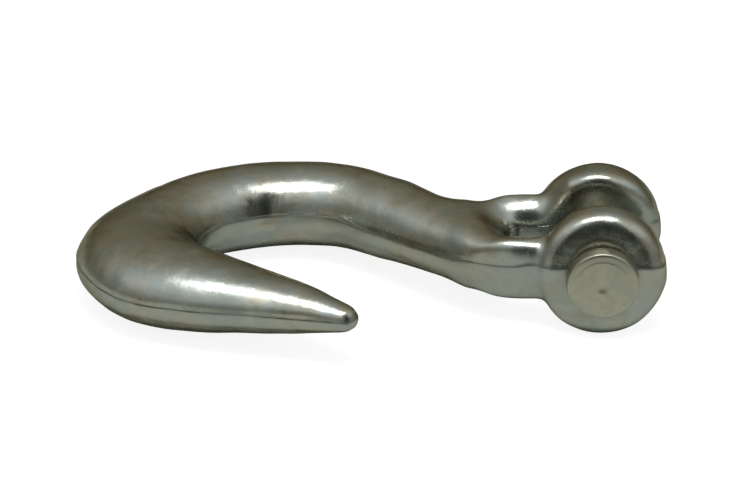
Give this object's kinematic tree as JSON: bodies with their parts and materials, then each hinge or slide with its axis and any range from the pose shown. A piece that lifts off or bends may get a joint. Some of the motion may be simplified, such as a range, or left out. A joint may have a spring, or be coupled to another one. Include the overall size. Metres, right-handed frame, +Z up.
{
  "type": "safety chain hook",
  "caption": "Forged clevis slip hook for a safety chain, with a round bowl and blunt point, a slotted clevis, a headed clevis pin and a split pin.",
  "frame": {"origin": "on the ground, under the middle of the hook's box as it lies on its side", "axes": "+X from the bowl to the clevis, +Y along the clevis pin from its head to its split pin, +Z up"},
  "size_m": [0.0978, 0.0534, 0.0214],
  "materials": {
    "plated_forging": "zinc-plated forging, semi-gloss, slightly uneven, faint green and straw tint",
    "plated_pin": "zinc-plated turned steel, satin, with small dents",
    "plated_wire": "bright zinc-plated half-round wire"
  },
  "bodies": {
    "hook": {"hook_body": "plated_forging"},
    "pin": {"clevis_pin": "plated_pin"},
    "split_pin": {"cotter_pin": "plated_wire"}
  },
  "joints": [
    {"name": "pin_spin", "type": "hinge", "parent": "hook", "child": "pin", "pos_m": [0.03825, 0.00031, 0.01069], "axis": [0, 1, 0], "continuous": true},
    {"name": "split_pin_float", "type": "slide", "parent": "pin", "child": "split_pin", "axis": [0, 0, 1], "range_m": [0, 0.0006]}
  ]
}
